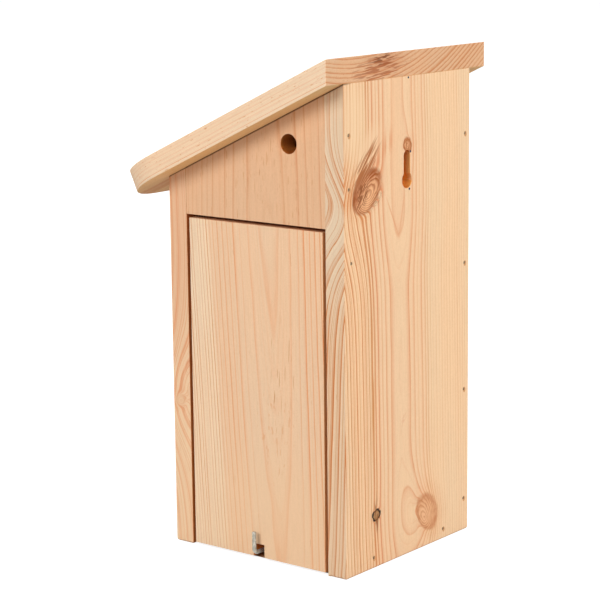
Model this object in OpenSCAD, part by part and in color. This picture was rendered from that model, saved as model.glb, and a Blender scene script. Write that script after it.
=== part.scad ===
// Nest box for small birds, nailed together from planed softwood boards.
// The front, with the entrance, faces -Y. The hanging board faces +Y. The door is on the +X side.
// The origin is at the centre of the footprint of the whole box, on the ground.

/* [Boards] */
// Thickness of every board
board_t = 18.5; // [16:0.5:21]
// Width of the boards that the two sides are cut from
side_board_w = 145; // [125:1:165]

/* [Body] */
// Width across the front
body_w = 175; // [150:1:200]
// Height of the hanging board, up to the roof
back_h = 400; // [370:1:440]
// Fall of the roof towards the front, in degrees
roof_pitch = 25; // [18:1:28]

/* [Roof] */
// How far the roof reaches past each side
roof_side_reach = 22; // [10:1:30]
// How far the underside of the roof reaches past the front
roof_front_reach = 48; // [35:1:60]
// Radius of the two front corners of the roof
roof_corner_r = 60; // [30:1:75]

/* [Door] */
// Height of the panel over the door, at its low front end
head_front_h = 38.8; // [30:0.2:60]
// Gap between each long edge of the door and the board beside it
door_side_gap = 3; // [2:0.1:5]
// Gap above the door
door_top_gap = 2.8; // [2:0.1:5]
// Gap between the foot of the door and the ground
door_foot_gap = 2.5; // [2:0.1:5]
// Gap between the shut door and the edge of the floor
door_stop_gap = 0.5; // [0.3:0.1:1]
// Distance of the pivot nails below the top edge of the door
pivot_drop = 24; // [20:0.5:30]
// Width of the notch that the latch hook passes through
notch_w = 11.4; // [9:0.1:14]
// Height of the notch above the foot of the door
notch_h = 11.1; // [10.8:0.1:14]

/* [Openings] */
// Diameter of the entrance
entrance_d = 45; // [28:1:50]
// Distance of the centre of the entrance below the top of the front
entrance_drop = 83; // [60:1:150]
// Diameter of the air hole in each side
vent_d = 16; // [10:0.5:20]
// Distance of the centre of the air hole below the slope
vent_drop = 24.5; // [18:0.5:40]
// Distance of the air hole from the back face
vent_from_back = 54.6; // [50:0.1:60]
// Cut-off corner of the floor that lets water out
drain_corner = 12; // [8:1:18]

/* [Hanging slot] */
// Diameter of the wide end of the slot, which takes in the screw head
slot_head_d = 13.2; // [12:0.1:15]
// Width of the narrow run of the slot
slot_neck_w = 8.6; // [7:0.1:9]
// Distance of the centre of the wide end below the top of the hanging board
slot_drop = 84; // [60:1:110]
// Distance from the centre of the wide end to the top of the slot
slot_run = 24.1; // [20:0.1:30]
// Offset of the slot from the middle of the board, towards the door side
slot_x = 2.8; // [-4:0.1:4]
// Depth of the narrow lip that holds the screw head
slot_lip = 5; // [4:0.1:6]
// Depth of the undercut behind the lip
slot_undercut = 5; // [4:0.1:6]

/* [Nails] */
// Diameter of a nail
nail_d = 1.8; // [1.4:0.1:2.2]
// Length of a nail
nail_len = 45; // [35:1:50]
// Diameter of a nail head
nail_head_d = 2.6; // [2.4:0.1:3.4]
// Thickness of a nail head
nail_head_t = 1; // [0.6:0.1:1.6]
// Distance of the side nails from the outer face of the side board
nail_edge = 6.5; // [5:0.1:9]
// Height of the lowest nail in the full side board
nail_low_z = 29; // [24:1:34]
// Distance of the highest nail in the full side board below the slope
nail_top_drop = 54; // [48:1:60]
// Spacing of the nails down the full side board
nail_pitch = 110; // [95:1:112]
// Least distance between the lowest nail and the one above it
nail_low_gap = 60; // [50:1:80]
// Distance of the head panel's nails from its upper and lower edges at the back
head_nail_inset = 32; // [24:1:34]
// Distance of the floor nails from the outer face of each side
floor_nail_edge = 37.5; // [30:0.5:50]
// Distance of the roof nails over the end boards from the outer face of each side
roof_nail_edge = 32.5; // [28:0.5:50]
// Distance of the roof nails over the sides from the ends of the side boards
roof_side_nail_end = 36.5; // [28:0.5:50]
// Diameter of the two nails that the door turns on
pivot_d = 2.4; // [2:0.1:3]
// Running clearance round a pivot nail in the door, on the radius
pivot_clearance = 0.08; // [0.03:0.01:0.1]

/* [Latch hook] */
// Diameter of the hook's wire
hook_d = 3.4; // [2.6:0.1:4]
// Radius of the bend, at the middle of the wire
hook_bend_r = 4; // [3:0.1:5]
// Height of the screwed shaft above the ground
hook_z = 7.5; // [6:0.1:8]
// Height of the tip of the hook above the shaft
hook_rise = 18.3; // [14:0.1:22]
// Distance of the upright leg from the face of the door
hook_stand_off = 6; // [5:0.1:8]
// Length of shaft that is screwed into the floor
hook_bite = 22; // [15:1:30]
// Running clearance round the shaft in the floor, on the radius
hook_clearance = 0.05; // [0.02:0.01:0.1]

/* [Hidden] */
$fn = 48;
// Sides of the small round parts
fine = 24;
// Overshoot of a cut past a face
cut = 1;

body_d = side_board_w + 2 * board_t;
roof_lap = board_t * sin(roof_pitch);
total_d = body_d + roof_front_reach + roof_lap;
back_y = total_d / 2;
front_y = back_y - body_d;
back_inner_y = back_y - board_t;
front_inner_y = front_y + board_t;
mid_y = back_y - body_d / 2;
side_x = body_w / 2;
side_inner_x = side_x - board_t;
floor_edge_x = side_inner_x - door_stop_gap;
roof_w = body_w + 2 * roof_side_reach;

// Height of the underside of the roof at a distance d from the back face
function slope_z(d) = back_h - d * tan(roof_pitch);

// The same height at the face of the front board, and what is placed from the slope
front_h = slope_z(body_d);
opening_top = slope_z(body_d - board_t) - head_front_h;
entrance_z = front_h - entrance_drop;
vent_z = slope_z(vent_from_back) - vent_drop;
slot_head_z = back_h - slot_drop;

door_w = side_board_w - 2 * door_side_gap;
door_top = opening_top - door_top_gap;
pivot_z = door_top - pivot_drop;
pivot_x = side_x - board_t / 2;

nail_x = side_x - nail_edge;
nail_bite = nail_len - board_t;
floor_nail_z = board_t / 2;
hook_x = side_x + hook_stand_off;
// Length of the hook's point
hook_point = 5;
// Free depth past the end of a nail or shaft that turns in its hole
end_gap = 0.5;

// Heights of the nails in the full side board: one low, then a run down from the slope
function side_nails(h) =
    let (top = h - nail_top_drop)
    let (steps = floor((top - nail_low_z - nail_low_gap) / nail_pitch))
    concat([nail_low_z], [for (k = [steps:-1:0]) top - k * nail_pitch]);

// Heights of the two nails in the head panel, at an end where the panel is h tall
function head_nails(h) =
    let (inset = min(head_nail_inset, 0.3 * h))
    [opening_top + inset, opening_top + h - inset];

back_side_zs = side_nails(back_h);
front_side_zs = side_nails(front_h);
back_head_zs = head_nails(slope_z(board_t) - opening_top);
front_head_zs = head_nails(slope_z(body_d - board_t) - opening_top);

// Places of the nails in an end board, as [x, z]
function end_nails(side_zs, head_zs) = concat(
    [for (z = side_zs) [-nail_x, z]],
    [for (z = head_zs) [nail_x, z]],
    [for (s = [-1, 1]) [s * (side_x - floor_nail_edge), floor_nail_z]]
);

back_nails = end_nails(back_side_zs, back_head_zs);
front_nails = end_nails(front_side_zs, front_head_zs);

// Places of the roof nails, as [x, distance from the back face], over the middle of the board below
roof_nail_lean = nail_bite * sin(roof_pitch) / 2;
roof_side_ds = [board_t + roof_side_nail_end, body_d - board_t - roof_side_nail_end];
roof_nails = concat(
    [for (s = [-1, 1]) [s * (side_x - roof_nail_edge), board_t / 2 + roof_nail_lean]],
    [for (s = [-1, 1]) [s * (side_x - roof_nail_edge), body_d - board_t / 2 + roof_nail_lean]],
    [for (s = [-1, 1]) for (d = roof_side_ds) [s * pivot_x, d]]
);

function numbered(name, list) = [for (i = [0:len(list) - 1]) str(name, i + 1)];
BACK_NAILS = numbered("back_nail_", back_nails);
FRONT_NAILS = numbered("front_nail_", front_nails);
ROOF_NAILS = numbered("roof_nail_", roof_nails);

// A nail with the face of its head at z = 0, driven down -Z; a hole for it runs on by past
module nail(d = nail_d, past = 0) {
    color("silver") union() {
        translate([0, 0, -nail_head_t]) cylinder(d = nail_head_d, h = nail_head_t + past, $fn = fine);
        translate([0, 0, -nail_len]) cylinder(d = d, h = nail_len - nail_head_t, $fn = fine);
    }
}

// A nail driven into the hanging board from behind, and one driven into the front board
module back_nail(place, d = nail_d, past = 0) {
    translate([place.x, back_y, place.y]) rotate([-90, 0, 0]) nail(d, past);
}

module front_nail(place, d = nail_d, past = 0) {
    translate([place.x, front_y, place.y]) rotate([90, 0, 0]) nail(d, past);
}

// A nail driven square through the roof; place.y is where it leaves the underside
module roof_nail(place, past = 0) {
    translate([place.x, back_y - place.y, slope_z(place.y)])
        rotate([roof_pitch, 0, 0]) translate([0, 0, board_t]) nail(nail_d, past);
}

// The holes for each row of nails
module back_nail_holes() {
    for (p = back_nails) back_nail(p, nail_d, cut);
}

module front_nail_holes() {
    for (p = front_nails) front_nail(p, nail_d, cut);
}

module roof_nail_holes() {
    for (p = roof_nails) roof_nail(p, cut);
}

// Everything above the underside of the roof, for trimming the walls
module above_slope() {
    translate([-body_w, 0, 0]) rotate([90, 0, 90]) linear_extrude(2 * body_w) polygon([
        [back_y + cut, slope_z(-cut)],
        [front_y - cut, slope_z(body_d + cut)],
        [front_y - cut, 2 * back_h],
        [back_y + cut, 2 * back_h]
    ]);
}

// Keyhole slot in the back face: a wide end, a narrow run up from it, and an undercut behind both
module keyhole() {
    neck_top = slot_head_z + slot_run - slot_neck_w / 2;
    translate([slot_x, back_y + cut, 0]) rotate([90, 0, 0]) union() {
        translate([0, slot_head_z, 0]) cylinder(d = slot_head_d, h = slot_lip + slot_undercut + cut);
        translate([0, neck_top, 0]) cylinder(d = slot_neck_w, h = slot_lip + cut + 0.1);
        translate([-slot_neck_w / 2, slot_head_z, 0])
            cube([slot_neck_w, neck_top - slot_head_z, slot_lip + cut + 0.1]);
        translate([0, neck_top, slot_lip + cut]) cylinder(d = slot_head_d, h = slot_undercut);
        translate([-slot_head_d / 2, slot_head_z, slot_lip + cut])
            cube([slot_head_d, neck_top - slot_head_z, slot_undercut]);
    }
}

// Air hole through a side board whose lower face in X is at x
module air_hole(x) {
    translate([x - cut, back_y - vent_from_back, vent_z]) rotate([0, 90, 0])
        cylinder(d = vent_d, h = board_t + 2 * cut);
}

module floor_board() {
    color("burlywood") difference() {
        translate([-side_inner_x, front_inner_y, 0])
            cube([side_inner_x + floor_edge_x, side_board_w, board_t]);
        for (x = [-side_inner_x, floor_edge_x]) for (y = [front_inner_y, back_inner_y])
            translate([x, y, -cut]) rotate([0, 0, 45])
                translate([-drain_corner / sqrt(2), -drain_corner / sqrt(2), 0])
                cube([drain_corner * sqrt(2), drain_corner * sqrt(2), board_t + 2 * cut]);
        hook_hole();
        back_nail_holes();
        front_nail_holes();
    }
}

module back_board() {
    color("bisque") difference() {
        translate([-side_x, back_inner_y, 0]) cube([body_w, board_t, back_h]);
        above_slope();
        keyhole();
        back_nail_holes();
        roof_nail_holes();
        back_nail([pivot_x, pivot_z], pivot_d, cut);
    }
}

module front_board() {
    color("bisque") difference() {
        translate([-side_x, front_y, 0]) cube([body_w, board_t, back_h]);
        above_slope();
        translate([0, front_inner_y + cut, entrance_z]) rotate([90, 0, 0])
            cylinder(d = entrance_d, h = board_t + 2 * cut);
        front_nail_holes();
        roof_nail_holes();
        front_nail([pivot_x, pivot_z], pivot_d, cut);
    }
}

module full_side() {
    color("burlywood") difference() {
        translate([-side_x, front_inner_y, 0]) cube([board_t, side_board_w, back_h]);
        above_slope();
        air_hole(-side_x);
        back_nail_holes();
        front_nail_holes();
        roof_nail_holes();
    }
}

// The fixed board over the door, with the air hole
module head_panel() {
    color("tan") difference() {
        translate([side_inner_x, front_inner_y, opening_top])
            cube([board_t, side_board_w, back_h - opening_top]);
        above_slope();
        air_hole(side_inner_x);
        back_nail_holes();
        front_nail_holes();
        roof_nail_holes();
    }
}

// Plan of the roof with its high edge at y = 0, square at the back and rounded at the front
module roof_outline(length) {
    union() {
        translate([-roof_w / 2, -length + roof_corner_r]) square([roof_w, length - roof_corner_r]);
        translate([-roof_w / 2 + roof_corner_r, -length]) square([roof_w - 2 * roof_corner_r, length]);
        for (s = [-1, 1]) translate([s * (roof_w / 2 - roof_corner_r), -length + roof_corner_r])
            circle(r = roof_corner_r, $fn = 96);
    }
}

module roof_board() {
    spare = board_t;
    length = (body_d + roof_front_reach) / cos(roof_pitch) + spare;
    color("wheat") difference() {
        translate([0, back_y, back_h]) rotate([roof_pitch, 0, 0]) translate([0, spare, 0])
            linear_extrude(board_t) roof_outline(length);
        translate([-roof_w, back_y, 0]) cube([2 * roof_w, 4 * spare, 2 * back_h]);
        roof_nail_holes();
    }
}

module door_panel() {
    color("moccasin") difference() {
        translate([side_inner_x, mid_y - door_w / 2, door_foot_gap])
            cube([board_t, door_w, door_top - door_foot_gap]);
        translate([side_inner_x - cut, mid_y - notch_w / 2, door_foot_gap - cut])
            cube([board_t + 2 * cut, notch_w, notch_h + cut]);
        for (y = [back_y, front_y]) pivot_bore(y);
    }
}

// Blind hole in the edge of the door for the pivot nail whose head is at y
module pivot_bore(y) {
    translate([pivot_x, y, pivot_z]) rotate([90 * sign(y - mid_y), 0, 0])
        cylinder(r = pivot_d / 2 + pivot_clearance, h = nail_len + end_gap, $fn = fine);
}

module pivot_nail_back() {
    back_nail([pivot_x, pivot_z], pivot_d);
}

module pivot_nail_front() {
    front_nail([pivot_x, pivot_z], pivot_d);
}

// Hole in the edge of the floor that the latch hook is screwed into
module hook_hole() {
    translate([floor_edge_x - hook_bite - end_gap, mid_y, hook_z]) rotate([0, 90, 0])
        cylinder(r = hook_d / 2 + hook_clearance, h = hook_bite + 2 * cut, $fn = fine);
}

// Square-bend screw hook, with its shaft along X and its leg turned up to hold the door
module latch_hook() {
    shaft_start = floor_edge_x - hook_bite;
    color("gainsboro") union() {
        translate([shaft_start, mid_y, hook_z]) rotate([0, 90, 0])
            cylinder(d1 = 0.6, d2 = hook_d, h = hook_point, $fn = fine);
        translate([shaft_start + hook_point, mid_y, hook_z]) rotate([0, 90, 0])
            cylinder(d = hook_d, h = hook_x - hook_bend_r - shaft_start - hook_point, $fn = fine);
        translate([hook_x - hook_bend_r, mid_y, hook_z + hook_bend_r]) rotate([90, 0, 0])
            rotate([0, 0, -90]) rotate_extrude(angle = 90)
            translate([hook_bend_r, 0]) circle(d = hook_d, $fn = fine);
        translate([hook_x, mid_y, hook_z + hook_bend_r])
            cylinder(d = hook_d, h = hook_rise - hook_bend_r, $fn = fine);
    }
}

floor_board();
back_board();
front_board();
full_side();
head_panel();
roof_board();
door_panel();
latch_hook();
pivot_nail_back();
pivot_nail_front();
for (i = [0:len(BACK_NAILS) - 1])
    back_nail(back_nails[i]);
for (i = [0:len(FRONT_NAILS) - 1])
    front_nail(front_nails[i]);
for (i = [0:len(ROOF_NAILS) - 1])
    roof_nail(roof_nails[i]);
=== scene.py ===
# %% [markdown]
# # A nest box in planed pine
#
# The box is six boards of white pine nailed together, with a door that turns on two nails and a
# bent wire hook that holds it shut. The construction comes packed as a frame: every board, nail
# and hook already has its size and place. What is left for Blender is how it looks, and on a box
# with no paint that is almost wholly the wood.
#
# The lesson goes like this: the camera, a small way of writing shader maths, floor and light, a
# solid texture that grows a tree and saws each board out of it, the boards' eased edges, each
# board's own wood, and last the nails and the hook.

from math import cos, degrees, exp, hypot, pi, radians, sin, tan

import bmesh
import bpy
from mathutils import Matrix, Vector


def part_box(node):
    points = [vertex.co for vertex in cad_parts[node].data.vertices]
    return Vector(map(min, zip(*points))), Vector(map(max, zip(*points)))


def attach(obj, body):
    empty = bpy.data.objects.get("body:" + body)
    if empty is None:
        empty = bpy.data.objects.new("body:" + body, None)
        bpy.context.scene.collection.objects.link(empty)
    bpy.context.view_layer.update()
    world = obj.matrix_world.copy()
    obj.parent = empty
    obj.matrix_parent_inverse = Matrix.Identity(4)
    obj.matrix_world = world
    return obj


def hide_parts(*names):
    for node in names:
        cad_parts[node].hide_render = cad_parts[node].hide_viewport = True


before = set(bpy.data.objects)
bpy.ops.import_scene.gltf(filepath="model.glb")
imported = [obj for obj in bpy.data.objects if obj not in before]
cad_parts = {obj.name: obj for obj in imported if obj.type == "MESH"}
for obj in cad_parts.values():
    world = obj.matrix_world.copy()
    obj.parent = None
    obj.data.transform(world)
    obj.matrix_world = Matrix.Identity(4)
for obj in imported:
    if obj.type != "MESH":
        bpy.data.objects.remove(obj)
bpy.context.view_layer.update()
MM = 0.001


# %% [markdown]
# ## Camera
#
# The box stands turned, so that the hanging board and the side with the door both show. A long
# lens from about a metre and three quarters keeps the upright edges nearly parallel. A camera
# could be given a place and a turn, but those say little to a reader. Here it is placed by three
# angles: how far round the box it stands, how high it looks down from, and how far it leans.

# %% A camera set by its angles
VIEW_AZIMUTH = radians(128.33)
VIEW_ELEVATION = radians(11.06)
VIEW_LEAN = radians(-0.63)
VIEW_DISTANCE = 1.734
VIEW_AIM = Vector((0.03018, 0.02891, 0.21132))
VIEW_LENS = 124.7
SENSOR_WIDTH = 36.0


def direction(azimuth, elevation):
    """The unit vector from the box to something at that azimuth, counted from the front."""
    flat = cos(elevation)
    return Vector((sin(azimuth) * flat, -cos(azimuth) * flat, sin(elevation)))


def facing(towards, lean=0.0):
    """The turn of a camera or lamp that looks along the opposite of `towards`."""
    right = (-towards).cross(Vector((0, 0, 1))).normalized()
    up = right.cross(-towards)
    leaned_right = right * cos(lean) + up * sin(lean)
    leaned_up = up * cos(lean) - right * sin(lean)
    return Matrix((leaned_right, leaned_up, towards)).transposed().to_euler()


camera = bpy.data.objects.new("camera", bpy.data.cameras.new("camera"))
bpy.context.scene.collection.objects.link(camera)
towards_camera = direction(VIEW_AZIMUTH, VIEW_ELEVATION)
camera.location = VIEW_AIM + towards_camera * VIEW_DISTANCE
camera.rotation_euler = facing(towards_camera, VIEW_LEAN)
camera.data.lens = VIEW_LENS
camera.data.sensor_width = SENSOR_WIDTH
bpy.context.scene.camera = camera
bpy.context.scene.view_settings.view_transform = "Standard"
print("camera stands at", [round(c, 3) for c in camera.location])


# %% [markdown]
# ## Shader maths as Python
#
# A wood that is grown in the shader needs a lot of arithmetic. Placing every Math node by hand
# hides the idea behind the wiring, so one small class wraps a socket and lets `+`, `-`, `*` and
# `/` add the nodes. Its `node` method makes any other kind: settings first, then the values or
# links of the sockets.

# %% A socket that can be added and multiplied
class Signal:
    """An output socket of a shader tree. Arithmetic on it adds Math nodes to that tree."""

    def __init__(self, tree, socket=None):
        self.tree = tree
        self.socket = socket

    def node(self, kind, settings=None, sockets=None, out=0):
        """Adds a node, makes its settings, fills its sockets, and hands back one of its outputs."""
        made = self.tree.nodes.new(kind)
        for setting, value in (settings or {}).items():
            setattr(made, setting, value)
        for key, value in (sockets or {}).items():
            if isinstance(value, Signal):
                self.tree.links.new(value.socket, made.inputs[key])
            else:
                made.inputs[key].default_value = value
        return Signal(self.tree, made.outputs[out])

    def math(self, operation, *values):
        return self.node("ShaderNodeMath", {"operation": operation}, dict(enumerate(values)))

    def vector(self, operation, *values, out=0):
        return self.node("ShaderNodeVectorMath", {"operation": operation}, dict(enumerate(values)), out)

    def __add__(self, other):
        return self.math("ADD", self, other)

    def __radd__(self, other):
        return self.math("ADD", other, self)

    def __sub__(self, other):
        return self.math("SUBTRACT", self, other)

    def __rsub__(self, other):
        return self.math("SUBTRACT", other, self)

    def __mul__(self, other):
        return self.math("MULTIPLY", self, other)

    def __rmul__(self, other):
        return self.math("MULTIPLY", other, self)

    def __truediv__(self, other):
        return self.math("DIVIDE", self, other)

    def __rtruediv__(self, other):
        return self.math("DIVIDE", other, self)


# %% [markdown]
# A few words are used again and again: a soft step between two levels, a blend of two colours, a
# cloud of noise, and a number drawn by lot for each year. Colours are written the way a colour
# picker shows them, 0 to 255, and turned into the linear values that light is reckoned in.

# %% Words for the materials
WHITE = (1.0, 1.0, 1.0, 1.0)


def shade(red, green, blue):
    """A colour as a picker shows it, made linear."""
    def linear(level):
        level = level / 255
        return level / 12.92 if level <= 0.04045 else ((level + 0.055) / 1.055) ** 2.4
    return (linear(red), linear(green), linear(blue), 1.0)


def step(value, low, high):
    """0 where value is at low, 1 where it is at high, and a smooth rise between."""
    settings = {"interpolation_type": "SMOOTHSTEP"}
    return value.node("ShaderNodeMapRange", settings, {0: value, 1: low, 2: high})


def blend(factor, first, second):
    """The first colour where the factor is 0, the second where it is 1."""
    return factor.node("ShaderNodeMix", {"data_type": "RGBA"}, {0: factor, 6: first, 7: second}, out=2)


def tint(colour, by):
    """One colour times another."""
    return colour.vector("MULTIPLY", colour, by)


def cloud(at, size, detail=1.0, roughness=0.5, out=0):
    """Noise from 0 to 1 whose lumps measure about `size` along each axis."""
    scaled = at.vector("DIVIDE", at, size)
    sockets = {"Vector": scaled, "Scale": 1.0, "Detail": detail, "Roughness": roughness}
    return at.node("ShaderNodeTexNoise", {"noise_dimensions": "3D"}, sockets, out)


def wander(value, pace, detail=1.0):
    """Noise from 0 to 1 along a single number."""
    sockets = {"W": value * pace, "Scale": 1.0, "Detail": detail, "Roughness": 0.6}
    return value.node("ShaderNodeTexNoise", {"noise_dimensions": "1D"}, sockets)


def lot(value, seed):
    """A number from 0 to 1 drawn by lot for each whole value."""
    return value.node("ShaderNodeTexWhiteNoise", {"noise_dimensions": "1D"}, {"W": value + seed})


# %% [markdown]
# ## Floor and light
#
# A white studio: a pale floor and a white surround. The camera, mirrors and glass see the surround
# at full white, which is what a strength of 1 means, while the wood gets only as much light as
# shows its colour as written. The floor does the same by halves, so that the box keeps a soft
# shadow to stand on. Right under the box the floor is brown and gives no light of its own, so
# that the notch at the foot of the door and the gaps beside it stay as dark as they are indoors.

# %% White surround
AMBIENT = 0.27


def seen_directly(signal):
    """1 for rays of the camera and for those that metal or glass send on, 0 for the rest."""
    rays = signal.node("ShaderNodeLightPath")
    camera_ray, glossy, clear = (
        Signal(signal.tree, rays.socket.node.outputs[name])
        for name in ("Is Camera Ray", "Is Glossy Ray", "Is Transmission Ray")
    )
    return signal.math("MAXIMUM", signal.math("MAXIMUM", camera_ray, glossy), clear)


world = bpy.data.worlds.new("studio")
bpy.context.scene.world = world
world.use_nodes = True
sky = Signal(world.node_tree)
background = world.node_tree.nodes["Background"]
background.inputs["Color"].default_value = WHITE
brightness = seen_directly(sky) * (1 - AMBIENT) + AMBIENT
world.node_tree.links.new(brightness.socket, background.inputs["Strength"])
print("the surround lights the wood at", AMBIENT, "of what it shows")

# %% Pale floor, dim under the box
FLOOR_SIZE = 30.0
FLOOR_SHOWN_WHITE = 0.85
DIM_PATCH = (0.92, 0.935)
DIM_GROUND = shade(190, 140, 96)
PALE_GROUND = shade(172, 172, 172)

floor_finish = bpy.data.materials.new("studio_floor")
floor_finish.use_nodes = True
paint = Signal(floor_finish.node_tree)
matt = floor_finish.node_tree.nodes["Principled BSDF"]
matt.inputs["Roughness"].default_value = 0.9
matt.inputs["Specular IOR Level"].default_value = 0.1
foot_low, foot_high = Vector(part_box("front_board")[0]), Vector(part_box("back_board")[1])
foot_middle, foot_half = (foot_low + foot_high) / 2, (foot_high - foot_low) / 2
spot = paint.node("ShaderNodeTexCoord", out="Object")
spot = spot.vector("SUBTRACT", spot, tuple(foot_middle))
spot = spot.vector("ABSOLUTE", spot.vector("DIVIDE", spot, tuple(foot_half)))
along_x, along_y = (spot.node("ShaderNodeSeparateXYZ", None, {0: spot}, out=axis) for axis in (0, 1))
open_floor = step(paint.math("MAXIMUM", along_x, along_y), *DIM_PATCH)
ground = blend(open_floor, DIM_GROUND, PALE_GROUND)
floor_finish.node_tree.links.new(ground.socket, matt.inputs["Base Color"])
share = seen_directly(paint) * open_floor * FLOOR_SHOWN_WHITE
glow = paint.node("ShaderNodeEmission", None, {"Color": WHITE, "Strength": share})
both = paint.node("ShaderNodeAddShader", None, {0: Signal(paint.tree, matt.outputs[0]), 1: glow})
floor_output = floor_finish.node_tree.nodes["Material Output"]
floor_finish.node_tree.links.new(both.socket, floor_output.inputs["Surface"])

bm = bmesh.new()
bmesh.ops.create_grid(bm, x_segments=1, y_segments=1, size=FLOOR_SIZE / 2)
floor = bpy.data.objects.new("studio_floor", bpy.data.meshes.new("studio_floor"))
bm.to_mesh(floor.data)
bm.free()
floor.data.materials.append(floor_finish)
bpy.context.scene.collection.objects.link(floor)

# %% Three soft lamps
# Azimuth and elevation in degrees, distance and size in metres, and the light that each gives
# to a surface that faces it.
LAMPS = {
    "key_lamp": (178, 30, 6.0, 3.0, 0.685),
    "side_lamp": (93, 30, 6.0, 3.2, 0.64),
    "far_lamp": (-40, 68, 6.0, 3.4, 0.36),
}
for name, (azimuth, elevation, distance, size, light) in LAMPS.items():
    lamp = bpy.data.lights.new(name, "AREA")
    lamp.shape = "DISK"
    lamp.size = size
    lamp.energy = light * pi * pi * distance ** 2
    stand = bpy.data.objects.new(name, lamp)
    away = direction(radians(azimuth), radians(elevation))
    stand.location = VIEW_AIM + away * distance
    stand.rotation_euler = facing(away)
    bpy.context.scene.collection.objects.link(stand)
    print(name, "at", [round(c, 2) for c in stand.location], round(lamp.energy, 1), "W")


# %% [markdown]
# ## Growing the wood
#
# Planed pine shows growth rings: pale earlywood that darkens into a narrow line of latewood and
# then starts again. A board is a slice of a trunk, so the same rings make the stripes and the
# pointed arches on its face, the slanted lines on its edge and the arcs on its end. A picture
# wrapped round the board can't do that, and a flat wave texture has no arches. So the shader
# works out, for each point of the wood, **the year in which it grew**. Every ring, whichever way
# the saw went, is then a whole number of that one field.
#
# For a bare trunk the year is the distance from the pith over the width of a ring. A branch grew
# outwards as a slender cone, so it has a year field of its own, and the wood at any point belongs
# to whichever reached it first: the smaller of the two years. A smooth minimum gives the collar
# of bent grain that runs round every knot.

# %% Where a board lay in its tree
def grain_frame(pith, lean, across):
    """The turn and shift that put the pith on the Z axis, with `across` as near X as may be."""
    along = Vector(lean).normalized()
    side = Vector(across)
    side = (side - along * side.dot(along)).normalized()
    turn = Matrix((side, along.cross(side), along))
    return turn, -(turn @ Vector(pith))


class Tree:
    """How the trunk that a board came from grew. Lengths are in millimetres.

    The pith runs through `pith` along `lean`. Rings are `ring` wide, and `later_ring` wide from
    the radius `later_from` on. The paler sapwood begins at the radius `sapwood`. `drift` is how
    far the grain wanders, and each crook is a bend: from one height to another, the trunk shifts
    sideways and outwards.
    """

    def __init__(self, pith, lean, across, ring, later_from=1000.0, later_ring=None, sapwood=1000.0,
                 phase=0.0, seed=0.0, drift=3.0, crooks=()):
        self.turn, self.shift = grain_frame(pith, lean, across)
        self.ring = ring
        self.later_from = later_from
        self.later_gain = 1 / (later_ring or ring) - 1 / ring
        self.sapwood = sapwood
        self.phase = phase
        self.seed = seed
        self.drift = drift
        self.crooks = crooks

    def year_at(self, radius):
        return radius / self.ring + max(radius - self.later_from, 0) * self.later_gain

    def place(self, point):
        return self.turn @ Vector(point) + self.shift


class Knot:
    """A branch cut through by the board: where it shows, how wide, and which way it ran.

    `rise` is how steeply it climbed and `ring` the width of its rings. The trunk's grain bulges
    out round it by `swell` years, over `reach` below, above and beside it, and the bulge sets in
    between the two radii of `onset`. `collar` is how many years the bent grain round it takes,
    and `wobble` how lumpy its outline is. Its wood runs from `core` to `heart`, darker towards
    `dark_side`, with `rings` lines for each year and a bark line of the colour `rim`.
    """

    def __init__(self, tree, at, size, rise=0.3, ring=1.5, swell=0.0, reach=(50, 50, 28), onset=(0, 1),
                 collar=3.0, heart=(178, 118, 80), rim=(165, 100, 62), core=(222, 168, 126),
                 dark_side=(0, 0, 0), rim_strength=1.0, rings=0.8, wobble=1.6):
        shown = tree.place(at)
        radius = hypot(shown.x, shown.y)
        self.start = Vector((0, 0, shown.z - rise * radius))
        self.axis = (shown - self.start).normalized()
        self.sideways = Vector((0, 0, 1)).cross(self.axis).normalized()
        self.upwards = self.axis.cross(self.sideways)
        self.ring = ring
        self.size = size
        self.swell = swell
        self.reach = reach
        self.onset = onset
        self.collar = collar
        begun = min(max((radius - onset[0]) / (onset[1] - onset[0]), 0), 1)
        pushed = swell * exp(-(size / reach[2]) ** 2) * begun * begun * (3 - 2 * begun)
        self.pace = (shown - self.start).length / (tree.year_at(radius) - pushed - size / ring)
        self.heart = shade(*heart)
        self.rim = shade(*rim)
        self.core = shade(*core)
        self.dark_side = tree.turn @ Vector(dark_side)
        self.rim_strength = rim_strength
        self.rings = rings
        self.wobble = wobble


PATCH_DEPTH = 14.0
STROKE_DEEP = 4


class Strokes:
    """A patch of short strokes on a board: torn grain, resin or streaks.

    `lean` counts the degrees that the strokes lean from upright, to the right as one looks at the
    face. `half` is the half size of the patch across and along the strokes, `stroke` the width and
    length of one of them, and `cover` the level of the noise from which a stroke shows. The patch
    lies round `at` on the side that `facing` points to.
    """

    def __init__(self, at, lean, half, stroke, ink, strength=1.0, cover=0.6, facing=(0, 1, 0)):
        up, facing = Vector((0, 0, 1)), Vector(facing)
        right = up.cross(facing)
        along = up * cos(radians(lean)) + right * sin(radians(lean))
        turn = Matrix((facing.cross(along), facing, along))
        self.placing = {"Location": -(turn @ Vector(at)), "Rotation": turn.to_euler(), "Scale": (1 / MM,) * 3}
        self.half = (half[0], PATCH_DEPTH, half[1])
        self.stroke = (stroke[0], stroke[0] * STROKE_DEEP, stroke[1])
        self.ink = shade(*ink)
        self.strength = strength
        self.cover = cover


# %% The year in which each point grew
def branch_distances(bent, knot):
    """How far out along a branch a point is, how far from its axis, and the arrow from the axis."""
    arm = bent.vector("SUBTRACT", bent, tuple(knot.start))
    reach = bent.math("MAXIMUM", bent.vector("DOT_PRODUCT", arm, tuple(knot.axis), out=1), 0.0)
    spine = bent.vector("SCALE", tuple(knot.axis), out=0)
    bent.tree.links.new(reach.socket, spine.socket.node.inputs["Scale"])
    off = bent.vector("SUBTRACT", arm, spine)
    return reach, bent.vector("LENGTH", off, out=1), off


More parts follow.
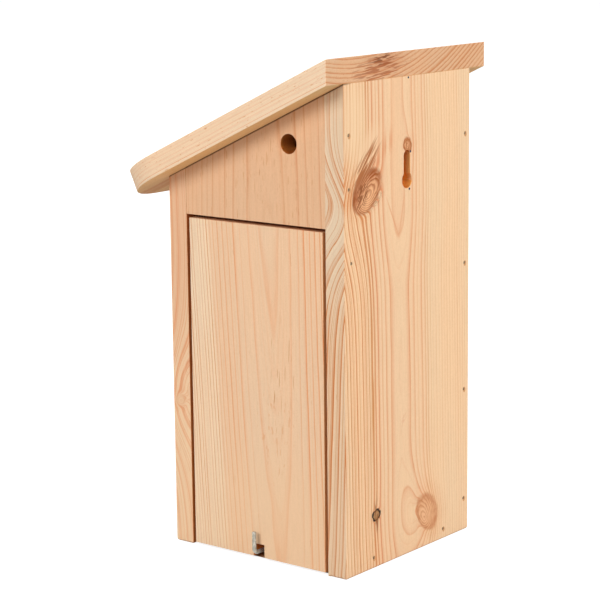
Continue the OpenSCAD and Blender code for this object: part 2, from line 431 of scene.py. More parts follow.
def growth(at, tree, knots):
    """The year field, and for each knot how many years the branch was ahead of the trunk."""
    warp = cloud(at, (80, 80, 420), detail=1.0, out=1)
    ripple = cloud(at, (9, 9, 60), detail=1.0, out=1)
    warp = warp.vector("SUBTRACT", warp, (0.5, 0.5, 0.5))
    ripple = ripple.vector("SUBTRACT", ripple, (0.5, 0.5, 0.5))
    bent = at.vector("MULTIPLY_ADD", warp, (tree.drift, tree.drift, 0.0), at)
    bent = at.vector("MULTIPLY_ADD", ripple, (0.7, 0.7, 0.0), bent)
    height = at.node("ShaderNodeSeparateXYZ", None, {0: bent}, out=2)
    for low, high, sideways, outwards in tree.crooks:
        bend = at.node("ShaderNodeCombineXYZ", None, {0: step(height, low, high), 1: step(height, low, high)})
        bent = at.vector("MULTIPLY_ADD", bend, (sideways, outwards, 0.0), bent)
    radius = at.vector("LENGTH", at.vector("MULTIPLY", bent, (1, 1, 0)), out=1)
    year = radius / tree.ring + tree.phase
    if tree.later_gain:
        year = year + at.math("MAXIMUM", radius - tree.later_from, 0.0) * tree.later_gain
    ahead = []
    for knot in knots:
        reach, distance, off = branch_distances(bent, knot)
        if knot.swell:
            beside = at.vector("DOT_PRODUCT", off, tuple(knot.sideways), out=1)
            above = at.vector("DOT_PRODUCT", off, tuple(knot.upwards), out=1)
            above = at.math("MAXIMUM", above / -knot.reach[0], above / knot.reach[1])
            fade = above * above * -1.0 - beside * beside / knot.reach[2] ** 2
            year = year - at.math("EXPONENT", fade) * step(radius, *knot.onset) * knot.swell
        lumpy = distance + (cloud(at, (knot.size * 1.1,) * 3, detail=1.0) - 0.5) * knot.wobble
        branch = reach / knot.pace + lumpy / knot.ring + tree.phase
        ahead.append((knot, year - branch, branch, off))
        year = at.math("SMOOTH_MIN", year, branch, knot.collar)
    return year, radius, bent, ahead


# %% The lines that the seasons draw
def season_lines(at, bent, year, tree, outer, edge_face, late_from):
    """How dark the wood is: thin earlywood rising to dense latewood, year by year."""
    uneven = year + (wander(year + tree.seed, 0.6) - 0.5) * 0.5
    whole = at.math("FLOOR", uneven)
    season = at.math("FRACT", uneven)
    begins = lot(whole, tree.seed) * 0.3 + late_from
    rising = at.node("ShaderNodeMapRange", None, {0: season, 1: begins, 2: 0.92})
    dense = (rising * rising * 0.7 + rising * 0.3) * (1 - step(season, 0.93, 1.0)) + season * 0.1
    strength = lot(whole, tree.seed + 31.7) * 0.6 + 0.35
    striae = wander(year + tree.seed, 6.0, detail=3.0)
    thin = step(striae, 0.56, 0.66) * (outer * 0.35 + 0.1)
    thin = thin + step(striae, 0.5, 0.62) * edge_face * 0.3
    fading = cloud(bent, (4, 4, 70), detail=2.0) * 1.1 + 0.45
    line = (dense * strength + (striae - 0.5) * 0.4 + thin) * fading
    return line, dense, striae, season, whole


def banded(line, bent, bands):
    """Lines of uneven strength across the board: a first strength, then rises from one place to another."""
    sideways = line.node("ShaderNodeSeparateXYZ", None, {0: bent}, out=0)
    vivid = bands[0]
    for low, high, more in bands[1:]:
        vivid = step(sideways, low, high) * more + vivid
    return line * vivid


def side_of(knot, off):
    """How far a point lies towards the dark side of a knot, in radii of the knot."""
    return off.vector("DOT_PRODUCT", off, tuple(knot.dark_side), out=1) / knot.size


def crowded(line, year, dense, striae, knot, lead, off):
    """Grain crowds round a knot, and its dark side has streaks of resin."""
    streaks = step(wander(year, 2.6), 0.42, 0.62)
    line = line + step(lead, -5.0, 0.0) * (dense * 0.2 + striae * 0.3)
    return line + step(lead, -11.0, -2.0) * step(side_of(knot, off), 0.2, 1.2) * streaks * 1.1


# %% What lies over the plain wood
def clamped(value):
    return value.node("ShaderNodeClamp", None, {0: value})


def with_knot(colour, at, knot, lead, branch, off):
    """The knot's own wood where the branch was ahead of the trunk, and a bark line at its rim."""
    ring = at.math("FRACT", (branch + (cloud(at, (5, 5, 7)) - 0.5) * 0.8) * knot.rings)
    dark_ring = step(ring, 0.25, 0.8) * (1 - step(ring, 0.85, 1.0))
    blotch = cloud(at, (knot.size * 0.35,) * 3, detail=2.0)
    shadow = step(side_of(knot, off), -0.2, 0.9)
    deep = step(lead, 5.0, 0.0) * 0.3 + dark_ring * 0.55 + (blotch - 0.6) * 0.8 + shadow * 0.5
    rim = step(lead, -0.8, 0.2) * (1 - step(lead, 0.5, 1.6)) * (shadow * 0.4 + 0.45 + (blotch - 0.5))
    colour = blend(step(lead, -0.5, 0.8), colour, blend(clamped(deep), knot.core, knot.heart))
    return blend(clamped(rim * knot.rim_strength), colour, knot.rim)


def with_strokes(colour, row, patch):
    """A patch of strokes, fading out towards its edge."""
    local = row.node("ShaderNodeMapping", {"vector_type": "POINT"}, {"Vector": row, **patch.placing})
    spread = row.vector("LENGTH", row.vector("DIVIDE", local, patch.half), out=1)
    near = 1 - step(spread, 0.3, 1.0)
    drawn = cloud(local, patch.stroke, detail=1.0) + near * 0.14
    return blend(step(drawn, patch.cover, patch.cover + 0.1) * near * patch.strength, colour, patch.ink)


def with_mark(colour, row, centre, size, ink, stretch):
    """A dot of ink or a bruise, `stretch` times as tall as wide."""
    scaled = row.vector("MULTIPLY", row, (1 / MM, 1 / MM, 1 / MM / stretch))
    gap = row.vector("DISTANCE", scaled, (centre[0], centre[1], centre[2] / stretch), out=1)
    return blend(1 - step(gap, size * 0.6, size), colour, shade(*ink))


def face_value(row, name):
    """A number that each face of the mesh carries."""
    return row.node("ShaderNodeAttribute", {"attribute_name": name}, None, out=2)


# %% Tints that all boards share
# Each is multiplied in. A pair is the two ends of a range.
END_GRAIN_TONE = shade(232, 212, 196)
FRESH_SAPWOOD = (1.06, 1.08, 1.10, 1)
LATEWOOD_ON_EDGE = (1.08, 0.97, 0.84, 1)
PALE_EDGE = (0.98, 1.06, 1.14, 1)
YEAR_HUES = (1.02, 0.985, 0.95, 1), (0.99, 1.0, 1.02, 1)
BROAD_HUES = (1.02, 0.985, 0.96, 1), (0.99, 1.005, 1.02, 1)
FIBRE_TONES = (0.90, 0.88, 0.86, 1), (1.10, 1.12, 1.14, 1)
GRIT_TONES = (0.95, 0.945, 0.94, 1), (1.05, 1.055, 1.06, 1)
PALE_EDGE_FADES = 0.45
FLECK_DARK = 0.75
GRAIN_RELIEF = 0.2 * MM


# %% Pine from the year field
def pine(name, tree, knots=(), early=(246, 210, 168), late=(212, 146, 98), sap_early=(246, 219, 176),
         sap_late=(226, 180, 130), contrast=1.0, end_contrast=1.0, edge_contrast=0.0, bands=None,
         flecks=0.74, fleck_length=16.0, fleck_ink=(204, 136, 84), late_from=0.35,
         edge_tone=(255, 255, 255), indoor_shade_tone=(214, 160, 112), bore_shade_tone=(248, 194, 134),
         edge_pale=None, marks=(), strokes=()):
    """A solid texture of planed pine, sawn from `tree`, on Object coordinates.

    `early` and `late` colour the two parts of a ring, with paler ones for the sapwood. Three
    contrasts strengthen the lines, on the end grain and the narrow edges by their own amount.
    `flecks` is the level of the noise from which a resin duct shows. The tones are multiplied in
    on the narrow edges, on faces that look indoors, as painted shade, and in drilled holes, as
    painted shade that deepens with depth over the rougher drilled wood. `edge_pale` names two
    heights between which the narrow edges grow paler.
    """
    material = bpy.data.materials.new(name)
    material.use_nodes = True
    start = Signal(material.node_tree)
    row = start.node("ShaderNodeTexCoord", out="Object")
    placing = {"Location": tree.shift, "Rotation": tree.turn.to_euler(), "Scale": (1 / MM,) * 3}
    at = row.node("ShaderNodeMapping", {"vector_type": "POINT"}, {"Vector": row, **placing})
    year, radius, bent, ahead = growth(at, tree, knots)
    end = step(face_value(row, "end_grain"), 0.5, 1.0)
    edge_face = face_value(row, "narrow_edge")
    outer = step(radius, tree.sapwood - 4, tree.sapwood + 4)

    line, dense, striae, season, whole = season_lines(at, bent, year, tree, outer, edge_face, late_from)
    if bands:
        line = banded(line, bent, bands)
    for knot, lead, _, off in ahead:
        line = crowded(line, year, dense, striae, knot, lead, off)
    if edge_pale:
        height = row.node("ShaderNodeSeparateXYZ", None, {0: row}, out=2) / MM
        pale = step(height, *edge_pale) * edge_face
        line = line * (1 - pale * PALE_EDGE_FADES)
    line = line * (line * edge_face * 0.3 + 1)
    line = clamped(line * (end * (end_contrast - contrast) + edge_face * edge_contrast + contrast))

    sap = step(radius, tree.sapwood - 2.5, tree.sapwood + 2.5)
    fresh = (1 - step(season, 0.0, 0.3)) * outer
    light_wood = blend(sap, shade(*early), shade(*sap_early))
    light_wood = tint(light_wood, blend(fresh, WHITE, FRESH_SAPWOOD))
    hue = blend(lot(whole, tree.seed + 7.3), *YEAR_HUES)
    dark_wood = blend(sap, shade(*late), shade(*sap_late))
    dark_wood = tint(dark_wood, blend(edge_face, WHITE, LATEWOOD_ON_EDGE))
    colour = blend(line, light_wood, tint(dark_wood, hue))

    broad = cloud(at, (38, 38, 240), detail=1.0)
    colour = tint(colour, blend(step(broad, 0.3, 0.7), *BROAD_HUES))
    fibre = cloud(bent, (0.9, 0.9, 20), detail=4.0, roughness=0.7)
    colour = tint(colour, blend(fibre, *FIBRE_TONES))
    grit = cloud(at, (1.4, 1.4, 1.4), detail=1.0)
    colour = tint(colour, blend(grit, *GRIT_TONES))
    fleck = step(cloud(bent, (1.1, 1.1, fleck_length), detail=1.0), flecks, flecks + 0.05)
    colour = blend(fleck * FLECK_DARK, colour, shade(*fleck_ink))

    for knot, lead, branch, off in ahead:
        colour = with_knot(colour, at, knot, lead, branch, off)
    for patch in strokes:
        colour = with_strokes(colour, row, patch)
    colour = tint(colour, blend(end, WHITE, END_GRAIN_TONE))
    # Painted shade: the walls of drilled holes darken the deeper they lie.
    colour = tint(colour, blend(face_value(row, "bore_shade"), WHITE, shade(*bore_shade_tone)))
    # Painted shade: faces that look indoors, or down from under the roof, take a darker tone.
    colour = tint(colour, blend(face_value(row, "inner_face"), WHITE, shade(*indoor_shade_tone)))
    colour = tint(colour, blend(edge_face, WHITE, shade(*edge_tone)))
    if edge_pale:
        colour = tint(colour, blend(pale, WHITE, PALE_EDGE))
    for mark in marks:
        colour = with_mark(colour, row, *mark)

    shader = material.node_tree.nodes["Principled BSDF"]
    material.node_tree.links.new(colour.socket, shader.inputs["Base Color"])
    rough = 0.7 - line * 0.1
    material.node_tree.links.new(rough.socket, shader.inputs["Roughness"])
    relief = line * 0.5 + fibre
    bump = at.node("ShaderNodeBump", None, {"Strength": 0.25, "Distance": GRAIN_RELIEF, "Height": relief})
    material.node_tree.links.new(bump.socket, shader.inputs["Normal"])
    shader.inputs["Specular IOR Level"].default_value = 0.15
    print(name, "has", len(material.node_tree.nodes), "nodes and", len(knots), "knots")
    return material


# %% [markdown]
# ## The boards
#
# The frame's boards have knife-sharp arrises. A planed board never does: the plane or a stroke of
# sandpaper takes off half a millimetre, and that thin bright line along every edge is what makes
# a board look like wood and not like paper. Each board is copied from the frame, its loose
# triangles merged, and its sharp edges given a weight that a Bevel modifier rounds by.

# %% Copy a board and ease its edges
SHARP = radians(30)
FLAT = radians(0.5)
EASE_MOST = 2.5 * MM
EASE_EDGE = 0.4 * MM
EASE_DOOR = 0.2 * MM
EASE_FOOT = 2.2 * MM
FOOT_BAND = 0.5 * MM
EASE_HOLE = 0.4 * MM
EASE_NAIL = 0.35 * MM
EASE_UNDER_ROOF = 1.3 * MM
NAIL_RIM = 9.0 * MM
SLANT_LEAST = 5 * MM


def loops_of(edges):
    """Sorts edges into groups that hang together."""
    left, groups = set(edges), []
    while left:
        reached = [left.pop()]
        for edge in reached:
            for corner in edge.verts:
                near = [other for other in corner.link_edges if other in left]
                left.difference_update(near)
                reached.extend(near)
        groups.append(reached)
    return groups


def slants(arris):
    """True for an edge that runs down along the roof."""
    run = arris.verts[1].co - arris.verts[0].co
    return min(abs(run.y), abs(run.z)) > SLANT_LEAST


# %% Which way each face was sawn
BORE_INSET = 0.4 * MM
# Painted shade in drilled holes grows to its full over the first 3 mm of depth.
BORE_SHADE_DEPTH = 3.0 * MM
BORE_WIDEST = 4e-4  # square metres
LOOKS_IN = 0.9


def mark_faces(bm, low, high, grain, edge, inside, bored_through):
    """Tells each face how far it is end grain, a narrow edge or an indoor face, and how much painted shade
    the wall of a hole gets.
    """
    end_grain = bm.faces.layers.float.new("end_grain")
    bore_shade = bm.faces.layers.float.new("bore_shade")
    narrow = bm.faces.layers.float.new("narrow_edge")
    inner = bm.faces.layers.float.new("inner_face")
    along = Vector(grain).normalized()
    for face in bm.faces:
        face[end_grain] = abs(face.normal.dot(along))
        face[narrow] = abs(face.normal.dot(Vector(edge)))
        face[inner] = float(inside is not None and face.normal.dot(Vector(inside)) > LOOKS_IN)
        middle = face.calc_center_median()
        depth = min(min(middle[i] - low[i], high[i] - middle[i]) for i in range(3))
        # A hole's wall gets painted shade, darker the deeper it lies.
        drilled = bored_through and depth > BORE_INSET and face.calc_area() < BORE_WIDEST
        face[bore_shade] = min(depth / BORE_SHADE_DEPTH, 1.0) if drilled else 0.0
        face.smooth = True


# %% A board made from its solid
def board(node, grain, edge, material, body="box", inside=None, under_roof=False, ease=EASE_EDGE,
          foot=None, bore_shade=True):
    """A board of the frame with eased arrises.

    `grain` is the way its fibres run, `edge` the way its narrow edges face and `inside` the way
    its indoor face looks. `ease` rounds its outline and `foot` the arrises that stand on the ground.
    `under_roof` eases the arrises that slope with the roof, and `bore_shade` paints shade into its holes.
    """
    low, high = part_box(node)
    bm = bmesh.new()
    bm.from_mesh(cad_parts[node].data)
    bmesh.ops.remove_doubles(bm, verts=bm.verts, dist=0.001 * MM)
    bmesh.ops.dissolve_limit(bm, angle_limit=FLAT, verts=bm.verts, edges=bm.edges)
    weight = bm.edges.layers.float.new("bevel_weight_edge")
    sharp = [arris for arris in bm.edges if arris.calc_face_angle(0) > SHARP]
    groups = sorted(loops_of(sharp), key=lambda group: -sum(arris.calc_length() for arris in group))
    for order, group in enumerate(groups):
        length = sum(arris.calc_length() for arris in group)
        radius = ease if order == 0 else EASE_HOLE
        if length < NAIL_RIM:
            radius = EASE_NAIL
        for arris in group:
            arris[weight] = (EASE_UNDER_ROOF if under_roof and slants(arris) else radius) / EASE_MOST
            if foot and all(corner.co.z < low.z + FOOT_BAND for corner in arris.verts):
                arris[weight] = foot / EASE_MOST
    mark_faces(bm, low, high, grain, edge, inside, bore_shade)
    piece = bpy.data.objects.new("planed_" + node, bpy.data.meshes.new("planed_" + node))
    bm.to_mesh(piece.data)
    bm.free()
    bpy.context.scene.collection.objects.link(piece)
    piece.data.materials.append(material)
    bevel = piece.modifiers.new("eased_arrises", "BEVEL")
    bevel.width = EASE_MOST
    bevel.segments = 3
    bevel.limit_method = "WEIGHT"
    bevel.use_clamp_overlap = False
    piece.modifiers.new("flat_faces", "WEIGHTED_NORMAL")
    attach(piece, body)
    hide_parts(node)
    print(node, "eased:", len(groups), "groups of sharp edges")


# %% Sizes read from the frame
def box_mm(node):
    low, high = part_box(node)
    return low / MM, high / MM


back_high = box_mm("back_board")[1]
front_low, front_high = box_mm("front_board")
door_high = box_mm("door_panel")[1]
BACK_FACE = back_high.y
ROOF_PITCH = radians(25)
ROOF_RUN = (0.0, -cos(ROOF_PITCH), -sin(ROOF_PITCH))
HALF_BOARD = 9
UP = (0.0, 0.0, 1.0)
WIDE = (1.0, 0.0, 0.0)
DEEP = (0.0, 1.0, 0.0)
print("back face at y", round(BACK_FACE, 1), "and the door's at x", round(door_high.x, 1))

# %% [markdown]
# ## What no tree decides
#
# Some of what shows on planed boards has no rule: a patch that the plane tore, resin round a
# knot, a sapwood edge that has weathered a little paler. Some is painted light and shade: the dark
# line of shadow where two boards meet, and narrow edges darker high up and paler at the foot.
# These are laid over the grown wood as patches of strokes. A stroke shows where the noise in its
# patch is above `cover`, so with a cover below every level of the noise the whole patch shows,
# and the strokes run together into a soft wash. Drawn very narrow, such a wash is a line.

# %% Washes, lines and the painted shade in joints
BELOW_ALL_NOISE = -1
WASH = (40, 40)
# Painted shade: a dark line along the joint under the roof stands in for its shadow.
JOINT_SHADE_TONE = (98, 58, 30)
JOINT_SHADE_HALF = (1.6, 500)
MIDDLE_Y = (front_low.y + BACK_FACE) / 2
ROOF_LINE_MIDDLE = (MIDDLE_Y, back_high.z - (BACK_FACE - MIDDLE_Y) * tan(ROOF_PITCH))


def wash(at, lean, half, ink, strength, facing=DEEP):
    """A patch in one soft colour, or a line where `half` is narrow."""
    return Strokes(at, lean, half, WASH, ink, strength, BELOW_ALL_NOISE, facing)


def joint_shade_line(x):
    """Painted shade: the dark line of shadow in the joint between the roof and a board whose edge shows at x.
    """
    return wash((x, *ROOF_LINE_MIDDLE), 90 - degrees(ROOF_PITCH), JOINT_SHADE_HALF, JOINT_SHADE_TONE, 0.9, facing=WIDE)


print("the joint under the roof passes y, z", [round(c, 1) for c in ROOF_LINE_MIDDLE])

# %% [markdown]
# ## Seven boards
#
# Each board gets a place in a tree of its own. The face of the hanging board lay 50 mm from the
# pith, so it has an arch in the middle and close upright lines at its edges. It carries the large
# knot, torn above and crowded below, and the pen dots by which the slot was marked out. Every
# nail in it has bruised the wood a little to one side.

# %% Tree and marks of the hanging board
back_tree = Tree((8.5, BACK_FACE - 49.6, 0), (0.022, 0, 1), (1, 0, 0), ring=2.5, later_from=68,
                 later_ring=3.2, sapwood=61, phase=0.52, seed=3.0, drift=1.4,
                 crooks=((30, -10, 0, 1.2), (225, 300, 0, -2.4)))
PEN = (44, 44, 66)
back_marks = [
    ((0.8, BACK_FACE, 398.6), 1.15, PEN, 1.0),
    ((-2.0, BACK_FACE, 338.8), 1.35, PEN, 1.0),
    ((-0.5, BACK_FACE, 308.4), 1.3, PEN, 1.0),
]
BRUISE = (208, 152, 104)
BRUISE_ASIDE = 0.6
back_nails = [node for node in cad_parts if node.startswith("back_nail_")]
for node in back_nails:
    nail_low, nail_high = box_mm(node)
    nail_middle = (nail_low + nail_high) / 2
    bruised = (nail_middle.x - BRUISE_ASIDE, BACK_FACE, nail_middle.z - BRUISE_ASIDE)
    back_marks.append((bruised, 2.2, BRUISE, 1.3))
print(len(back_marks), "marks on the hanging board")

# %% Hanging board
back_strokes = [
    joint_shade_line(back_high.x),
    wash((74, BACK_FACE, 366), 0, (24, 60), (244, 210, 168), 0.6),
    # Painted light: the narrow edge paler towards its foot.
    wash((back_high.x, BACK_FACE - HALF_BOARD, 0), 0, (60, 110), (250, 212, 172), 0.2, facing=WIDE),
    Strokes((54, BACK_FACE, 346), 40, (17, 30), (9, 60), (243, 206, 165), 0.7, cover=0.2),
    Strokes((58, BACK_FACE, 334), 42, (13, 34), (1.5, 34), (172, 104, 60), 0.95, cover=0.56),
    Strokes((44, BACK_FACE, 304), 55, (5, 17), (0.8, 3), (172, 128, 92), 0.6),
    Strokes((64, BACK_FACE, 311), 36, (13, 20), (1.7, 7), (140, 80, 44), 0.9),
    Strokes((45.5, BACK_FACE, 46), 0, (5, 26), (1.5, 16), (136, 84, 44), 0.8),
    Strokes((50, BACK_FACE, 160), 0, (5, 120), (1.3, 70), (208, 138, 76), 0.6),
    wash((22.6, BACK_FACE, 288), -27, (1.1, 27), (224, 152, 110), 0.6),
    wash((9.8, BACK_FACE, 290), 13, (1.1, 26), (224, 152, 110), 0.5),
    Strokes((7.5, BACK_FACE, 118), 30, (4, 10), (0.9, 4), (224, 164, 128), 0.5),
    Strokes((1.4, BACK_FACE, 343), 0, (6.5, 12), (1.5, 9), (176, 108, 62), 0.7),
]
back_knots = [
    Knot(back_tree, (60, BACK_FACE, 307), 13.6, rise=-0.5, ring=2.0, swell=4.8, reach=(48, 30, 54),
         onset=(43, 98), heart=(160, 80, 34), rim=(156, 82, 38), core=(238, 180, 132),
         dark_side=(0.6, 0, 0.8), rings=1.1),
    Knot(back_tree, (-22.4, BACK_FACE, 25.8), 9.8, rise=-0.84, ring=1.8, swell=3.3, reach=(24, 24, 22),
         heart=(200, 130, 82), rim=(194, 122, 76), core=(236, 184, 140)),
    Knot(back_tree, (45.6, BACK_FACE, 45), 4.3, rise=-0.2, ring=1.0, swell=0.3, reach=(16, 16, 9),
         heart=(78, 50, 30), rim=(30, 21, 15), core=(206, 152, 100), rim_strength=2.6, rings=1.5, wobble=4.0),
    Knot(back_tree, (1.5, BACK_FACE, 341.5), 5.6, rise=-0.6, ring=1.3, swell=0.6, reach=(14, 20, 8),
         heart=(176, 104, 58), rim=(176, 104, 58), core=(230, 172, 126), rim_strength=1.6, wobble=2.4),
]
back_pine = pine("back_pine_wood", back_tree, back_knots, early=(241, 202, 161), late=(222, 150, 106),
                 sap_early=(242, 206, 165), sap_late=(208, 134, 80), flecks=0.78,
                 bands=(0.36, (-48, -32, 0.44), (14, 32, 0.7)), edge_contrast=-0.3, edge_pale=(185, 275),
                 edge_tone=(244, 247, 253), bore_shade_tone=(255, 211, 132), marks=back_marks,
                 strokes=back_strokes)
board("back_board", UP, WIDE, back_pine, under_roof=True, foot=EASE_FOOT)

# %% [markdown]
# On the front board the rings lie across the narrow edge, with a knot just past its corner that
# bends them. The door was sawn farther out in its tree, so its lines run upright and even, and
# its pale edge is sapwood. The panel over the door is nearly plain, and the full side has two
# knots of its own.

# %% Front board
front_tree = Tree((-14, front_low.y + 66, 0), (0.01, -0.02, 1), (-1, 0, 0), ring=3.3, seed=11.0)
front_knots = [
    Knot(front_tree, (front_high.x + 5, front_low.y + 5, 122), 5, rise=-0.4, ring=1.8, swell=3.0,
         reach=(50, 40, 26), heart=(232, 184, 144), rim=(228, 176, 134), core=(238, 196, 156),
         rim_strength=0.4),
    Knot(front_tree, (70, front_low.y, 165), 8, rise=-0.3, swell=1.6, reach=(60, 60, 30)),
    Knot(front_tree, (-48, front_low.y, 96), 11, rise=-0.3, swell=1.5, reach=(50, 50, 26)),
]
front_strokes = [
    joint_shade_line(front_high.x),
    # Painted shade and light on the narrow edge: darker high up in the roof's shade, paler at the foot.
    wash((front_high.x, front_low.y + HALF_BOARD, 300), 0, (60, 190), (222, 172, 136), 0.45, facing=WIDE),
    wash((front_high.x, front_low.y + HALF_BOARD, 20), 0, (60, 130), (242, 206, 166), 0.5, facing=WIDE),
]
front_pine = pine("front_pine_wood", front_tree, front_knots, early=(242, 204, 164), late=(222, 158, 120),
                  edge_contrast=0.2, strokes=front_strokes)
board("front_board", UP, WIDE, front_pine, inside=DEEP, under_roof=True, foot=EASE_FOOT)

# %% Door
door_strokes = [
    # Painted light: the door paler towards its foot.
    wash((door_high.x, 40, 15), 0, (110, 110), (245, 205, 162), 0.35, facing=WIDE),
    Strokes((door_high.x, 54, 150), 2, (30, 130), (1.3, 22), (204, 140, 88), 0.8, cover=0.78, facing=WIDE),
    Strokes((door_high.x, 48, 110), 2, (34, 70), (2.4, 9), (226, 164, 118), 0.6, cover=0.74, facing=WIDE),
]
door_tree = Tree((door_high.x - 71, BACK_FACE - 77, 280), (-0.010, 0.045, -1), (0, 1, 0), ring=2.8,
                 later_from=93, later_ring=2.3, sapwood=93, phase=0.4, seed=5.0, drift=5.0)
door_pine = pine("door_pine_wood", door_tree, early=(238, 200, 163), late=(228, 152, 102),
                 sap_early=(243, 215, 181), sap_late=(214, 146, 96), late_from=0.5, contrast=0.9,
                 bands=(1.15, (-44, -26, -0.55), (20, 36, 0.8)), flecks=0.76, fleck_length=22.0,
                 edge_tone=(255, 234, 202), strokes=door_strokes)
board("door_panel", UP, DEEP, door_pine, body="door", ease=EASE_DOOR)

# %% Panel over the door
head_tree = Tree((door_high.x - 150, 40, 280), (0.01, 0, -1), (0, 1, 0), ring=2.2, seed=17.0)
head_strokes = [
    joint_shade_line(door_high.x),
    Strokes((door_high.x, 40, 330), 2, (60, 60), (1.0, 12), (200, 134, 90), 0.8, cover=0.79, facing=WIDE),
]
head_pine = pine("head_pine_wood", head_tree, early=(229, 185, 146), late=(214, 146, 102), contrast=0.72,
                 late_from=0.5, flecks=0.7, strokes=head_strokes, bore_shade_tone=(202, 157, 90))
board("head_panel", UP, DEEP, head_pine, under_roof=True)

# %% Full side, which the door faces
side_low = box_mm("full_side")[0]
side_tree = Tree((side_low.x + 64, 20, 0), (0.0, 0.01, 1), (0, -1, 0),
                 ring=3.4, later_from=96, later_ring=2.0, sapwood=96, seed=23.0)
side_knots = [
    Knot(side_tree, (side_low.x, -6, 118), 10, rise=-0.3, swell=1.5, reach=(52, 52, 26)),
    Knot(side_tree, (side_low.x, 66, 246), 5, rise=-0.25, swell=0.8, reach=(26, 26, 14), rim=(90, 60, 40)),
]
side_pine = pine("side_pine_wood", side_tree, side_knots)
board("full_side", UP, DEEP, side_pine)

# %% [markdown]
# The grain of the roof runs down its slope, so its high edge is end grain: there the rings show
# as arcs, with a rough dark patch that the saw tore.

# %% Roof
roof_tree = Tree((72, BACK_FACE, 420 + 300), ROOF_RUN, (1, 0, 0), ring=3.3, seed=29.0)
roof_strokes = [
    wash((34, BACK_FACE, 413), 88, (14, 40), (206, 136, 90), 0.32),
    Strokes((36, BACK_FACE, 415), 88, (8, 24), (1.4, 12), (120, 64, 34), 0.8),
    Strokes((40, BACK_FACE, 408), 86, (15, 56), (1.6, 18), (180, 108, 68), 0.75),
]
roof_knot = Knot(roof_tree, (-50, BACK_FACE - 130, 360), 9, rise=0.25, swell=0.9, reach=(50, 50, 30))
# The roof's underside takes a lighter painted shade than the indoor faces.
roof_pine = pine("roof_pine_wood", roof_tree, [roof_knot], early=(243, 214, 181), late=(222, 160, 112),
                 contrast=0.6, end_contrast=2.3, flecks=0.69, fleck_length=5.0, fleck_ink=(220, 152, 100),
                 indoor_shade_tone=(255, 238, 202), strokes=roof_strokes)
roof_underside = (0, sin(ROOF_PITCH), -cos(ROOF_PITCH))
board("roof_board", ROOF_RUN, WIDE, roof_pine, inside=roof_underside, bore_shade=False)

# %% Floor
floor_tree = Tree((0, 30, -70), (1, 0, 0.01), (0, 1, 0), ring=3.2, seed=37.0)
floor_pine = pine("floor_pine_wood", floor_tree, early=(230, 204, 172), late=(200, 152, 112))
board("floor_board", WIDE, DEEP, floor_pine)


# %% [markdown]
# ## Nails
#
# Round-head wire nails, driven flush. Drawn wire is grey with a little shine, and a struck head
# is not quite flat.

# %% Nails
def steel(name, base, dark, roughness, shine):
    """Bright or galvanised wire with dull patches."""
    material = bpy.data.materials.new(name)
    material.use_nodes = True
    start = Signal(material.node_tree)
    row = start.node("ShaderNodeTexCoord", out="Object")
    at = row.vector("SCALE", row)
    at.socket.node.inputs["Scale"].default_value = 1 / MM
    patch = cloud(at, (1.6, 1.6, 2.4), detail=3.0, roughness=0.6)
    colour = blend(step(patch, 0.35, 0.68), shade(*base), shade(*dark))
    shader = material.node_tree.nodes["Principled BSDF"]
    material.node_tree.links.new(colour.socket, shader.inputs["Base Color"])
    rough = patch * 0.3 + roughness
    material.node_tree.links.new(rough.socket, shader.inputs["Roughness"])
    bump = at.node("ShaderNodeBump", None, {"Strength": 0.2, "Distance": 0.1 * MM, "Height": patch})
    material.node_tree.links.new(bump.socket, shader.inputs["Normal"])
    shader.inputs["Metallic"].default_value = shine
    return material


nail_finish = steel("nail_wire", (152, 126, 94), (104, 78, 52), 0.5, 0.4)
zinc = steel("zinc_wire_finish", (192, 190, 180), (144, 143, 130), 0.4, 0.65)


# %% Where each nail sits
def nail_ends(node):
    """The middle of the head's face, the tip, and the radius of the head, from the frame's nail."""
    points = [corner.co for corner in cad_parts[node].data.vertices]
    one = max(points, key=lambda p: (p - points[0]).length)
    other = max(points, key=lambda p: (p - one).length)
    along = (other - one).normalized()
    ends = []
    for way in (along, -along):
        farthest = max(p.dot(way) for p in points)
        ring = [p for p in points if p.dot(way) > farthest - 0.4 * MM]
        middle = sum(ring, Vector()) / len(ring)
        ends.append((max((p - middle).length for p in ring), middle))
    (_, tip), (head_radius, head) = sorted(ends, key=lambda end: end[0])
    return head, tip, head_radius


# %% Struck nails
HEAD_SUNK = 0.15 * MM
HEAD_DOME = 0.2 * MM
HEAD_THICK = 0.9 * MM
NAIL_TURNS = 20
SHANK_SHARE = 0.69


def lathe(bm, profile, segments):
    """Turns a line of (radius, height) points about Z into a closed solid."""
    corners = [bm.verts.new((radius, 0, height)) for radius, height in profile]
    line = [bm.edges.new(pair) for pair in zip(corners, corners[1:])]
    bmesh.ops.spin(bm, geom=corners + line, cent=(0, 0, 0), axis=(0, 0, 1), angle=2 * pi, steps=segments,
                   use_merge=True)
    bmesh.ops.remove_doubles(bm, verts=bm.verts, dist=0.001 * MM)
    bmesh.ops.recalc_face_normals(bm, faces=bm.faces)


def finished(name, bm, material, body, replaced):
    """Turns a mesh into a piece that rides on a body in the place of the frame's own."""
    for face in bm.faces:
        face.smooth = True
    piece = bpy.data.objects.new(name, bpy.data.meshes.new(name))
    bm.to_mesh(piece.data)
    bm.free()
    bpy.context.scene.collection.objects.link(piece)
    piece.data.materials.append(material)
    piece.modifiers.new("flat_faces", "WEIGHTED_NORMAL")
    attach(piece, body)
    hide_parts(replaced)
    return piece


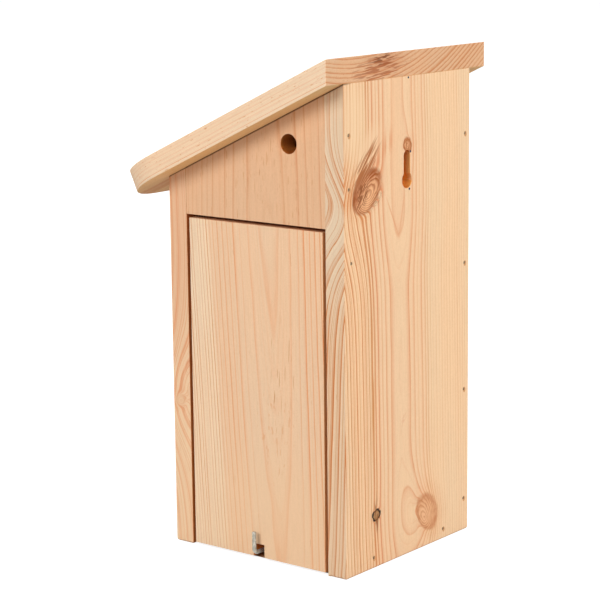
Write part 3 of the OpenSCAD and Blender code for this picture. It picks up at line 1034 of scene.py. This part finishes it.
def struck_nail(node):
    head, tip, radius = nail_ends(node)
    length = (head - tip).length
    shank = radius * SHANK_SHARE
    profile = [
        (0, HEAD_DOME), (radius * 0.5, HEAD_DOME * 0.8), (radius * 0.85, HEAD_DOME * 0.2),
        (radius * 0.97, -HEAD_THICK * 0.2), (radius * 0.97, -HEAD_THICK * 0.8), (radius * 0.85, -HEAD_THICK),
        (shank, -HEAD_THICK * 1.15), (shank, -length + 3 * shank), (0, -length + HEAD_SUNK * 2),
    ]
    bm = bmesh.new()
    lathe(bm, profile, NAIL_TURNS)
    turn = (head - tip).to_track_quat("Z", "Y").to_matrix().to_4x4()
    place = head - (head - tip).normalized() * HEAD_SUNK
    bm.transform(Matrix.Translation(place) @ turn)
    return finished("struck_" + node, bm, nail_finish, "box", node)


nails = [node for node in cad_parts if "nail" in node]
for node in nails:
    struck_nail(node)
print(len(nails), "nails, the first with its head at", [round(c / MM, 1) for c in nail_ends(nails[0])[0]])

# %% [markdown]
# ## Hook
#
# The door is held by a square-bend screw hook, a piece of zinc-plated wire that is bent up at its
# end. Wire doesn't bend sharply, so the corner is a small round bend, and the cut end is eased. A
# curve with a round section would look the same, but its ends would have to be closed afterwards.
# So the hook starts as a closed disc, and its rim is pushed along, spun round the bend and pushed
# up to the tip, which leaves only the last ring to fill.

# %% Wire hook
hook_low, hook_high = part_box("latch_hook")
WIRE_R = (hook_high.y - hook_low.y) / 2
HOOK_BEND = 4 * MM
HOOK_TURNS = 32
wire_y = (hook_low.y + hook_high.y) / 2
wire_z = hook_low.z + WIRE_R
leg_x = hook_high.x - WIRE_R
END_EASE = 0.5 * MM


def push(bm, ring, shift, scale=1.0):
    """Draws a ring of edges out to a new ring, moved by shift and scaled about its middle."""
    made = bmesh.ops.extrude_edge_only(bm, edges=ring)["geom"]
    corners = [part for part in made if isinstance(part, bmesh.types.BMVert)]
    bmesh.ops.translate(bm, verts=corners, vec=shift)
    middle = sum((corner.co for corner in corners), Vector()) / len(corners)
    bmesh.ops.scale(bm, verts=corners, vec=(scale,) * 3, space=Matrix.Translation(-middle))
    return [part for part in made if isinstance(part, bmesh.types.BMEdge)]


bm = bmesh.new()
bmesh.ops.create_circle(bm, cap_ends=True, segments=HOOK_TURNS, radius=WIRE_R - END_EASE)
bm.transform(Matrix.Translation((hook_low.x, wire_y, wire_z)) @ Matrix.Rotation(pi / 2, 4, "Y"))
ring = list(bm.edges)
ring = push(bm, ring, (END_EASE, 0, 0), WIRE_R / (WIRE_R - END_EASE))
ring = push(bm, ring, (leg_x - HOOK_BEND - hook_low.x - END_EASE, 0, 0))
bend = bmesh.ops.spin(bm, geom=ring, cent=(leg_x - HOOK_BEND, wire_y, wire_z + HOOK_BEND), axis=(0, 1, 0),
                      angle=-pi / 2, steps=12)
ring = [part for part in bend["geom_last"] if isinstance(part, bmesh.types.BMEdge)]
ring = push(bm, ring, (0, 0, hook_high.z - END_EASE - wire_z - HOOK_BEND))
ring = push(bm, ring, (0, 0, END_EASE * 0.6), 1 - END_EASE * 0.35 / WIRE_R)
ring = push(bm, ring, (0, 0, END_EASE * 0.4), 1 - END_EASE / WIRE_R)
bmesh.ops.holes_fill(bm, edges=ring)
bmesh.ops.recalc_face_normals(bm, faces=bm.faces)
finished("bent_latch_hook", bm, zinc, "hook", "latch_hook")
print("hook of", round(2 * WIRE_R / MM, 1), "mm wire")
